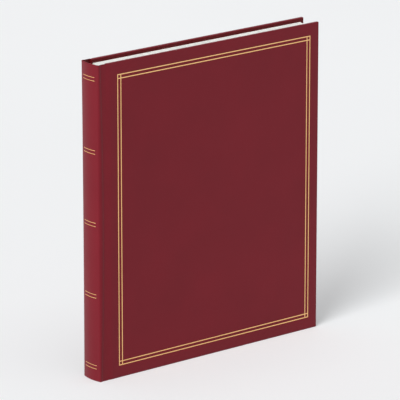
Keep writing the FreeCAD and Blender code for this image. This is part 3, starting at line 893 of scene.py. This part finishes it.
class ALBUM_OT_spine_skin(bpy.types.Operator):
    """Build the rounded leatherette spine with its shoulders and pressed lines"""
    bl_idname = "album.spine_skin"
    bl_label = "Spine leatherette"

    ARC_PARTS = 18
    CREST_STEPS = 5
    TIP_STEPS = 12

    def execute(self, context):
        sizes = context.scene.album_sizes
        material = finish_named("Leatherette", leatherette_look, sizes, context.scene.album_colours)
        bands = band_lines()
        heights = spaced(line_stops(bands, sizes.line_slope, BAND_WIDTH), sizes.edge_radius,
                         ALBUM_HEIGHT - sizes.edge_radius, COVER_STRIDE)

        def pressed(height):
            return sizes.line_press if on_line(height, bands, BAND_WIDTH) else 0.0

        loops = []
        for outer, inner, banded in self.plan(sizes):
            radius = edge_round(sizes, outer, inner)
            loops.append(wrap_loop(outer, inner, 0.0, ALBUM_HEIGHT, radius, heights,
                                   press=pressed if banded else level(0.0)))
        skin = wrapped_piece("spine_skin", bowed(sizes, loops), material)
        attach(skin, "spine")
        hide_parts("spine_leather")
        return {"FINISHED"}

    def plan(self, sizes):
        """Outer and inner plan points from seam to seam, and whether the gold lines cross there."""
        shoulder, arc_end = self.shoulder_pairs(sizes)
        slope = sizes.line_slope / SPINE_RADIUS
        line_ends = [-BAND_REACH - slope, -BAND_REACH, BAND_REACH, BAND_REACH + slope]
        pairs = [(outer, inner, False) for outer, inner in shoulder]
        for turn in spaced(line_ends, -arc_end, arc_end, arc_end / self.ARC_PARTS):
            banded = abs(turn) < BAND_REACH + CLOSE
            pairs.append((on_spine(turn, 0.0), on_spine(turn, sizes.spine_wall), banded))
        for outer, inner in reversed(shoulder):
            pairs.append((Vector((outer.x, -outer.y)), Vector((inner.x, -inner.y)), False))
        return pairs

    def shoulder_pairs(self, sizes):
        """Outer and inner plan points from the front seam over the shoulder, and the arc's end."""
        tip, crest, arc_end = shoulder_shape(sizes)
        seam_turn = math.asin((crest.x - SHOULDER_X - SEAM_ALONG) / sizes.crest_radius)
        crest_turns = spread(seam_turn, CREST_TURN, self.CREST_STEPS)
        tip_turns = spread(CREST_TURN, math.pi / 2 - arc_end, self.TIP_STEPS)[1:]
        arcs = [(crest, sizes.crest_radius, turn) for turn in crest_turns]
        arcs += [(tip, sizes.tip_radius, turn) for turn in tip_turns]
        outers = []
        for centre, radius, turn in arcs:
            outers.append(centre - radius * Vector((math.sin(turn), math.cos(turn))))
        inner_start = outers[0] + Vector((0.0, sizes.joint_skin))
        inner_end = on_spine(-arc_end, sizes.spine_wall)
        shares = spread(0.0, 1.0, len(outers) - 1)
        inners = [inner_start.lerp(inner_end, share) for share in shares]
        return list(zip(outers, inners)), arc_end


class ALBUM_OT_gold_lines(bpy.types.Operator):
    """Lay gold foil in the pressed lines of the front cover and the spine"""
    bl_idname = "album.gold_lines"
    bl_label = "Gold lines"

    FOIL_LIFT = 0.03 * MM
    FOIL_BODY = 0.06 * MM
    BAND_STEPS = 28

    def execute(self, context):
        material = finish_named("Gold foil", gold_look, context.scene.album_colours)
        top = context.scene.album_sizes.line_press - self.FOIL_LIFT
        border = self.border(top, top + self.FOIL_BODY, material)
        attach(border, "front_cover")
        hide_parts("front_gold_border")
        bands = self.bands(top, top + self.FOIL_BODY, material)
        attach(bands, "spine")
        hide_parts("spine_gold_bands")
        return {"FINISHED"}

    def border(self, top, under, material):
        """Crossing strips of foil, with a small square at each corner."""
        upright, flat = border_lines()
        half = LINE_WIDTH / 2
        columns = [line + offset for line in upright for offset in (-half, half)]
        rows = [line + offset for line in flat for offset in (-half, half)]
        cells = {(i, j) for i in range(len(columns) - 1) for j in range(len(rows) - 1)
                 if i % 2 == 0 or j % 2 == 0}
        bm = bmesh.new()
        verts = {}

        def vert(corner, depth):
            if (corner, depth) not in verts:
                place = on_side(-1, columns[corner[0]], depth)
                verts[corner, depth] = bm.verts.new((place.x, place.y, rows[corner[1]]))
            return verts[corner, depth]

        for i, j in cells:
            corners = [(i, j), (i + 1, j), (i + 1, j + 1), (i, j + 1)]
            beside = [(i, j - 1), (i + 1, j), (i, j + 1), (i - 1, j)]
            bm.faces.new([vert(corner, top) for corner in corners])
            bm.faces.new([vert(corner, under) for corner in reversed(corners)])
            for here, after, other in zip(corners, corners[1:] + corners[:1], beside):
                if other not in cells:
                    bm.faces.new((vert(here, top), vert(after, top),
                                  vert(after, under), vert(here, under)))
        return piece_from(bm, "front_gold_lines", material, smooth=False)

    def bands(self, top, under, material):
        """Curved strips of foil across the spine."""
        half = BAND_WIDTH / 2
        bm = bmesh.new()
        for line in band_lines():
            loops = []
            for turn in spread(-BAND_REACH, BAND_REACH, self.BAND_STEPS):
                corners = ((top, -half), (top, half), (under, half), (under, -half))
                loops.append([(*on_spine(turn, depth), line + height) for depth, height in corners])
            add_loft(bm, loops)
        return piece_from(bm, "spine_gold_lines", material)


class ALBUM_OT_boards(bpy.types.Operator):
    """Give the boards their grey finish and bend the card that stiffens the spine"""
    bl_idname = "album.boards"
    bl_label = "Boards"

    CARD_UNDER = 0.4 * MM
    CARD_BODY = 0.9 * MM
    CARD_INSET = 0.5 * MM
    CARD_ROUND = 0.2 * MM
    CARD_STEPS = 24
    CARD_ROWS = 10

    def execute(self, context):
        material = finish_named("Grey board", paper_look, context.scene.album_colours.board,
                                fibre=3 * MM, fleck_share=0.6, relief=0.06 * MM)
        for label, _ in SIDES:
            dress_node(label + "_board", material)
        card = self.spine_card(context.scene.album_sizes, material)
        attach(card, "spine")
        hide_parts("spine_board")
        return {"FINISHED"}

    def spine_card(self, sizes, material):
        """The curved card, which ends where the shoulders begin to round."""
        arc_end = shoulder_shape(sizes)[2]
        heights = spread(0.0, ALBUM_HEIGHT, self.CARD_ROWS)[1:-1]
        loops = []
        for turn in spread(-arc_end, arc_end, self.CARD_STEPS):
            outer = on_spine(turn, self.CARD_UNDER)
            inner = on_spine(turn, self.CARD_UNDER + self.CARD_BODY)
            loops.append(wrap_loop(outer, inner, self.CARD_INSET, ALBUM_HEIGHT - self.CARD_INSET,
                                   self.CARD_ROUND, heights))
        return wrapped_piece("spine_card", loops, material)


# Paper, leaves and pockets

PAPER_BODY = 0.1 * MM
PAPER_GAP = 0.03 * MM
PAPER_ROUND = 0.04 * MM
PAPER_STRIDE = 30.0 * MM
# Along, where the endpaper is first pasted down.
PASTED_START = 4.75 * MM


class ALBUM_OT_endpapers(bpy.types.Operator):
    """Paste the endpapers inside the covers and fold them up from the joints to the flyleaves"""
    bl_idname = "album.endpapers"
    bl_label = "Endpapers"

    # The strip that stands up from the joint to the flyleaf's fold.
    STRIP_ALONG = 4.40 * MM
    STRIP_FLARE = 0.04 * MM
    STRIP_FALL = 0.6 * MM
    STRIP_CLEAR = 0.42 * MM
    # Run and rise in millimetres: the strip's foot, and the paper below and above the board's edge.
    STRIP_FOOT = ((0.0, 0.5), (0.08, 0.2), (0.22, 0.05), (0.45, 0.0))
    WALL_FOOT = ((-0.2, 0.08), (-0.05, 0.3), (0.0, 0.8))
    WALL_HEAD = ((0.06, -0.5), (0.22, -0.12), (0.6, 0.0))
    WALL_PAST = 1.2 * MM
    FOOT_ALONG = 8.5 * MM
    JOINT_END = 8.2 * MM
    JOINT_STEPS = 12

    def execute(self, context):
        sizes = context.scene.album_sizes
        material = finish_named("Endpaper", paper_look, context.scene.album_colours.endpaper)
        for label, side in SIDES:
            low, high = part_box(label + "_endpaper")
            heights = spaced(WINDOW_HEIGHTS, low.z, high.z, PAPER_STRIDE)
            line = self.pasted_line(sizes, high.x - SHOULDER_X)
            loops = self.loops_along(sizes, side, line, low.z, high.z, heights)
            sheet = wrapped_piece(label + "_endpaper_sheet", bowed(sizes, loops), material)
            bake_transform(sheet)
            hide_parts(label + "_endpaper")
            loops = self.loops_along(sizes, side, self.folded_line(sizes), low.z, high.z, heights)
            strip = wrapped_piece(label + "_endpaper_fold", loops, material)
            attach(strip, "spine")
        return {"FINISHED"}

    def loops_along(self, sizes, side, line, bottom, top, heights):
        """Loops of a paper whose middle follows a line, cut back at head and tail near the fold."""
        loops = []
        for step, (along, depth) in enumerate(line):
            before = Vector(line[max(0, step - 1)])
            after = Vector(line[min(len(line) - 1, step + 1)])
            run = (after - before).normalized()
            lift = Vector((-run.y, run.x)) * PAPER_BODY / 2
            outer = on_side(side, along - lift.x, depth - lift.y)
            inner = on_side(side, along + lift.x, depth + lift.y)
            cut = max(0.0, sizes.flyleaf_cut - max(0.0, along - PASTED_START))
            dip = partial(window_at, sizes, sizes.groove_end + TURN_IN_SLOPE, along)
            loops.append(wrap_loop(outer, inner, bottom + cut, top - cut, PAPER_ROUND, heights,
                                   press=lambda height, dip=dip: -dip(height), sink=dip))
        return loops

    def folded_line(self, sizes):
        """The strip's path from the flyleaf's fold down to the joint; it stays with the spine."""
        flat = COVER_THICKNESS + PAPER_GAP
        foot = inside_at(sizes, PASTED_START) + self.STRIP_CLEAR
        line = [(self.STRIP_ALONG + self.STRIP_FLARE, flat),
                (self.STRIP_ALONG, flat - self.STRIP_FALL)]
        line += [(self.STRIP_ALONG + run * MM, foot + rise * MM) for run, rise in self.STRIP_FOOT]
        return line

    def pasted_line(self, sizes, end):
        """The pasted paper's path: along the joint, up the board's edge and across the board."""
        above = PAPER_GAP + PAPER_BODY / 2
        flat = COVER_THICKNESS + above
        wall = WALL_START - above
        foot = inside_at(sizes, self.FOOT_ALONG) + above
        edge = COVER_LENGTH - TURN_IN
        steps = [sizes.groove_end, sizes.groove_end + TURN_IN_SLOPE, edge - TURN_IN_SLOPE, edge]
        line = []
        for along in spread(PASTED_START, self.JOINT_END, self.JOINT_STEPS):
            line.append((along, inside_at(sizes, along) + above))
        line += [(wall + run * MM, foot + rise * MM) for run, rise in self.WALL_FOOT]
        line += [(wall + run * MM, flat + rise * MM) for run, rise in self.WALL_HEAD]
        for along in spaced(steps, wall + self.WALL_PAST, end, PAPER_STRIDE) + [end]:
            line.append((along, flat))
        return line


class ALBUM_OT_flyleaves(bpy.types.Operator):
    """Lay a plain paper flyleaf inside each cover"""
    bl_idname = "album.flyleaves"
    bl_label = "Flyleaves"

    BEVEL = 0.08 * MM

    def execute(self, context):
        sizes = context.scene.album_sizes
        material = finish_named("Flyleaf", paper_look, context.scene.album_colours.endpaper,
                                fibre=1 * MM)
        for label, _ in SIDES:
            low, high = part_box(label + "_flyleaf")
            sheet = sheet_piece(label + "_flyleaf_sheet", low, high, sizes.leaf_corner / 2,
                                sizes.flyleaf_cut, self.BEVEL, material)
            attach(sheet, label + "_flyleaf")
            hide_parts(label + "_flyleaf")
        return {"FINISHED"}


class ALBUM_OT_leaves(bpy.types.Operator):
    """Cut the white stock leaves"""
    bl_idname = "album.leaves"
    bl_label = "Stock leaves"

    BEVEL = 0.12 * MM

    def execute(self, context):
        sizes = context.scene.album_sizes
        material = finish_named("Leaf card", paper_look, context.scene.album_colours.leaf,
                                fibre=0.8 * MM, fleck_share=0.06, relief=0.012 * MM, rough=0.8)
        for number in LEAVES:
            low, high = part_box("leaf_" + number)
            card = sheet_piece("leaf_card_" + number, low, high, sizes.leaf_corner,
                               sizes.leaf_cut, self.BEVEL, material)
            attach(card, "leaf_" + number)
            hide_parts("leaf_" + number)
        return {"FINISHED"}


class ALBUM_OT_linen_hinges(bpy.types.Operator):
    """Join every leaf to its stub with a woven strip"""
    bl_idname = "album.linen_hinges"
    bl_label = "Linen hinges"

    LINEN_START = 3.6 * MM
    LINEN_INSET = 12.0 * MM
    LINEN_ROUND = 0.06 * MM
    OVER_CARD = 0.1 * MM
    CARD_NEAR = 1.0 * MM
    # Millimetres from the card's edge, and shares of the thin and the thick strip added up there.
    CLIMB = ((-0.5, 1.3, 0.0), (-0.15, 0.0, 0.8), (0.1, 0.0, 1.0))
    END_EASE = 0.3 * MM
    END_BODY = 0.01 * MM
    BEND_BEFORE = 0.5 * MM
    BEND_AFTER = 2.0 * MM
    BEND_STEPS = 18
    GLUED_STEPS = 3
    ROWS = 12

    def execute(self, context):
        sizes = context.scene.album_sizes
        # The weave follows the strip's flat coordinates.
        material = finish_named("Linen", linen_look, context.scene.album_colours.linen,
                                sizes.thread_size, coordinates="UV")
        for number in LEAVES:
            low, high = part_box("leaf_hinge_" + number)
            middle = (low.y + high.y) / 2
            bottom = low.z + self.LINEN_INSET
            top = high.z - self.LINEN_INSET
            heights = spread(bottom, top, self.ROWS)[1:-1]
            loops = []
            for x, half in self.profile(number, (high.y - low.y) / 2, sizes.linen_overlap):
                loops.append(wrap_loop(Vector((x, middle - half)), Vector((x, middle + half)),
                                       bottom, top, min(half / 2, self.LINEN_ROUND), heights))
            strip = wrapped_piece("linen_hinge_" + number, loops, material)
            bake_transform(strip)
            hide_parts("leaf_hinge_" + number)
        return {"FINISHED"}

    def profile(self, number, thin, overlap):
        """Places along X with half the strip's thickness: flat, climbing the card, glued to it."""
        low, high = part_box("leaf_" + number)
        card = (high.y - low.y) / 2
        thick = card + self.OVER_CARD
        end = low.x + overlap
        fold = spread(SHOULDER_X + self.LINEN_START, low.x - self.CARD_NEAR, self.BEND_STEPS)
        climb = [(low.x + run * MM, thin * of_thin + thick * of_thick)
                 for run, of_thin, of_thick in self.CLIMB]
        glued = spread(low.x + self.CARD_NEAR, end - self.END_EASE, self.GLUED_STEPS)
        flat = [(x, thin) for x in fold]
        return flat + climb + [(x, thick) for x in glued] + [(end, card + self.END_BODY)]


class ALBUM_OT_pockets(bpy.types.Operator):
    """Seal rows of clear strips to both sides of every leaf"""
    bl_idname = "album.pockets"
    bl_label = "Pocket strips"

    ROWS = 9
    ROW_GAP = 1.7 * MM
    SEALED = 0.02 * MM
    RAISED = 0.07 * MM
    LIP = 0.1 * MM
    EASE = 0.5 * MM
    FOOT = 0.2 * MM
    LIP_START = 2.5 * MM
    LIP_FULL = 0.6 * MM
    # Whiteness of the film at each strip's open top edge: a painted highlight.
    LIP_HIGHLIGHT = 0.6

    def execute(self, context):
        sizes = context.scene.album_sizes
        material = finish_named("Pocket film", film_look, context.scene.album_colours.film)
        for number in LEAVES:
            low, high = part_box("leaf_pockets_" + number)
            card_low, card_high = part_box("leaf_" + number)
            pitch = (high.z - low.z + self.ROW_GAP) / self.ROWS
            bm = bmesh.new()
            weld_and_highlight = bm.verts.layers.float.new("weld_and_highlight")
            for face, side in ((card_low.y, -1), (card_high.y, 1)):
                for row in range(self.ROWS):
                    bottom = low.z + pitch * row
                    top = bottom + pitch - self.ROW_GAP
                    add_loft(bm, self.strip(sizes, face, side, low.x, high.x, bottom, top), weld_and_highlight)
            film = piece_from(bm, "pocket_film_" + number, material)
            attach(film, "leaf_" + number)
            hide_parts("leaf_pockets_" + number)
        return {"FINISHED"}

    def strip(self, sizes, face, side, start, end, bottom, top):
        """Loops of one strip: sealed at bottom and ends, open and a little raised at its top."""
        seal = sizes.weld_width
        eased = seal + self.EASE
        # Height, distance from the card, and how white the film is: 1 where it is sealed, and part
        # white at the open top edge as a painted highlight.
        profile = [(bottom, self.SEALED / 2, 1.0), (bottom + self.FOOT, self.SEALED, 1.0),
                   (bottom + seal, self.SEALED, 1.0), (bottom + eased, self.RAISED, 0.0),
                   (top - self.LIP_START, self.RAISED, 0.0), (top - self.LIP_FULL, self.LIP, 0.0),
                   (top, self.LIP, self.LIP_HIGHLIGHT)]
        # Place along the strip, and 1 where it is open.
        places = [(start, 0.0), (start + seal, 0.0), (start + eased, 1.0),
                  (end - eased, 1.0), (end - seal, 0.0), (end, 0.0)]
        under = face + side * self.SEALED / 4
        loops = []
        for x, open_share in places:
            outside = []
            inside = []
            for height, lift, whiteness in profile:
                if lift > self.SEALED:
                    lift = self.SEALED + (lift - self.SEALED) * open_share
                mark = max(whiteness, 1.0 - open_share)
                outside.append((x, face + side * lift, height, mark))
                inside.append((x, under, height, mark))
            loops.append(outside + inside[::-1])
        return loops


class ALBUM_OT_interleaves(bpy.types.Operator):
    """Slip a glassine sheet between neighbouring leaves"""
    bl_idname = "album.interleaves"
    bl_label = "Glassine interleaves"

    SHEET_BODY = 0.03 * MM
    SHEET_INSET = 1.2 * MM
    SHEET_CORNER = 1.5 * MM
    BEVEL = 0.01 * MM

    def execute(self, context):
        material = finish_named("Glassine", glassine_look, context.scene.album_colours.glassine)
        overlap = context.scene.album_sizes.linen_overlap
        inset = self.SHEET_INSET
        half = self.SHEET_BODY / 2
        for order, (number, following) in enumerate(zip(LEAVES, LEAVES[1:])):
            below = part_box("leaf_pockets_" + number)[1].y
            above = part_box("leaf_pockets_" + following)[0].y
            middle = (below + above) / 2
            card_low, card_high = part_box("leaf_" + number)
            low = Vector((card_low.x + overlap + inset, middle - half, card_low.z + inset))
            high = Vector((card_high.x - inset, middle + half, card_high.z - inset))
            sheet = sheet_piece("glassine_" + number, low, high, self.SHEET_CORNER,
                                self.SHEET_CORNER, self.BEVEL, material)
            carrier = number if order < len(LEAVES) // 2 else following
            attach(sheet, "leaf_" + carrier)
        return {"FINISHED"}


class ALBUM_OT_binding(bpy.types.Operator):
    """Give the stubs, spine lining and sewing thread their finishes"""
    bl_idname = "album.binding"
    bl_label = "Binding"

    def execute(self, context):
        colours = context.scene.album_colours
        thread_size = context.scene.album_sizes.thread_size
        stub = finish_named("Stub card", paper_look, colours.leaf, fibre=1 * MM, fleck_share=0.2)
        lining = finish_named("Lining cloth", lining_look, colours.linen, thread_size)
        thread = finish_named("Sewing thread", thread_look, colours.thread)
        dress_node("binding_stubs", stub)
        dress_node("spine_lining", lining)
        dress_node("sewing_thread", thread)
        return {"FINISHED"}


# Stage

CAMERA_AZIMUTH = -38.42
CAMERA_ELEVATION = 16.78
CAMERA_DISTANCE = 3.693
CAMERA_LENS = 352.7
CAMERA_SENSOR = 36.0
CAMERA_REACH = 100.0
AIM_LEFT = 2.27 * MM
AIM_DOWN = 2.55 * MM
FLOOR_HALF = 12.0
FLOOR_PARTS = 8


def direction(azimuth, elevation):
    """From the album towards a point seen at that azimuth and elevation, in degrees."""
    turn = math.radians(azimuth)
    rise = math.radians(elevation)
    flat = math.cos(rise)
    return Vector((math.sin(turn) * flat, -math.cos(turn) * flat, math.sin(rise)))


class ALBUM_OT_stage(bpy.types.Operator):
    """Set the floor, the soft studio lights and the camera"""
    bl_idname = "album.stage"
    bl_label = "Stage"

    # Name, azimuth and elevation, width as an angle, level on a surface that faces the lamp.
    LAMPS = (
        ("Key light", -68.0, 32.0, 33.0, 0.87),
        ("Top light", 10.0, 84.0, 60.0, 0.27),
    )
    SKY_LEVEL = 0.20
    BACKDROP = (0.88, 0.885, 0.90, 1.0)

    def execute(self, context):
        scene = context.scene
        scene.view_settings.view_transform = "Standard"
        centre = Vector((SHOULDER_X + COVER_LENGTH / 2, 0.0, ALBUM_HEIGHT / 2))
        self.floor(scene)
        self.sky(scene)
        for lamp in self.LAMPS:
            self.lamp(scene, centre, *lamp)
        self.camera(scene, centre)
        return {"FINISHED"}

    def floor(self, scene):
        """A wide level floor under the album."""
        bm = bmesh.new()
        bmesh.ops.create_grid(bm, x_segments=FLOOR_PARTS, y_segments=FLOOR_PARTS, size=FLOOR_HALF)
        mesh = bpy.data.meshes.new("studio_floor")
        bm.to_mesh(mesh)
        bm.free()
        mesh.materials.append(finish_named("Studio floor", floor_look, scene.album_colours.floor))
        made = bpy.data.objects.new("studio_floor", mesh)
        scene.collection.objects.link(made)

    def sky(self, scene):
        """Even soft light, with a pale backdrop where it is seen or mirrored."""
        world = bpy.data.worlds.new("Studio")
        world.use_nodes = True
        scene.world = world
        tree = world.node_tree
        light = tree.nodes["Background"]
        fill(tree, light, {"Color": WHITE, "Strength": self.SKY_LEVEL})
        seen = add_node(tree, "ShaderNodeBackground", {"Color": self.BACKDROP, "Strength": 1.0})
        both = add_node(tree, "ShaderNodeMixShader",
                        {0: shown_rays(tree), 1: light.outputs[0], 2: seen.outputs[0]})
        fill(tree, tree.nodes["World Output"], {"Surface": both.outputs[0]})

    def lamp(self, scene, centre, name, azimuth, elevation, width, amount):
        """A wide far light, even over the whole floor."""
        data = bpy.data.lights.new(name, "SUN")
        data.angle = math.radians(width)
        data.energy = amount * math.pi
        made = bpy.data.objects.new(name, data)
        way = direction(azimuth, elevation)
        made.location = centre + way
        made.rotation_euler = way.to_track_quat("Z", "Y").to_euler()
        scene.collection.objects.link(made)

    def camera(self, scene, centre):
        """A far camera with a long lens, at the photograph's viewing angle."""
        data = bpy.data.cameras.new("Photo camera")
        data.sensor_width = CAMERA_SENSOR
        data.lens = CAMERA_LENS
        data.clip_end = CAMERA_REACH
        made = bpy.data.objects.new("Photo camera", data)
        back = direction(CAMERA_AZIMUTH, CAMERA_ELEVATION)
        turn = back.to_track_quat("Z", "Y")
        aim = centre + turn @ Vector((-AIM_LEFT, -AIM_DOWN, 0.0))
        made.location = aim + back * CAMERA_DISTANCE
        made.rotation_euler = turn.to_euler()
        scene.collection.objects.link(made)
        scene.camera = made


class ALBUM_PT_panel(bpy.types.Panel):
    """Lists the album's pieces, sizes and colours"""
    bl_idname = "ALBUM_PT_panel"
    bl_label = "Stamp album"
    bl_space_type = "VIEW_3D"
    bl_region_type = "UI"
    bl_category = "Album"

    def draw(self, context):
        layout = self.layout
        for operator in OPERATORS:
            layout.operator(operator.bl_idname)
        for group in (context.scene.album_sizes, context.scene.album_colours):
            box = layout.box()
            for name in group.bl_rna.properties.keys():
                if name not in ("rna_type", "name"):
                    box.prop(group, name)


OPERATORS = (
    ALBUM_OT_stage,
    ALBUM_OT_spine_skin,
    ALBUM_OT_cover_skins,
    ALBUM_OT_gold_lines,
    ALBUM_OT_boards,
    ALBUM_OT_endpapers,
    ALBUM_OT_flyleaves,
    ALBUM_OT_leaves,
    ALBUM_OT_linen_hinges,
    ALBUM_OT_pockets,
    ALBUM_OT_interleaves,
    ALBUM_OT_binding,
)
CLASSES = (AlbumSizes, AlbumColours) + OPERATORS + (ALBUM_PT_panel,)


def register():
    """Makes the operators, the panel and the album's settings known to Blender."""
    for each in CLASSES:
        bpy.utils.register_class(each)
    bpy.types.Scene.album_sizes = bpy.props.PointerProperty(type=AlbumSizes)
    bpy.types.Scene.album_colours = bpy.props.PointerProperty(type=AlbumColours)


def unregister():
    """Takes them away again."""
    del bpy.types.Scene.album_colours
    del bpy.types.Scene.album_sizes
    for each in reversed(CLASSES):
        bpy.utils.unregister_class(each)


def main():
    """Builds everything in order."""
    register()
    bpy.ops.album.stage()
    bpy.ops.album.spine_skin()
    bpy.ops.album.cover_skins()
    bpy.ops.album.gold_lines()
    bpy.ops.album.boards()
    bpy.ops.album.endpapers()
    bpy.ops.album.flyleaves()
    bpy.ops.album.leaves()
    bpy.ops.album.linen_hinges()
    bpy.ops.album.pockets()
    bpy.ops.album.interleaves()
    bpy.ops.album.binding()


if __name__ == "__main__":
    main()
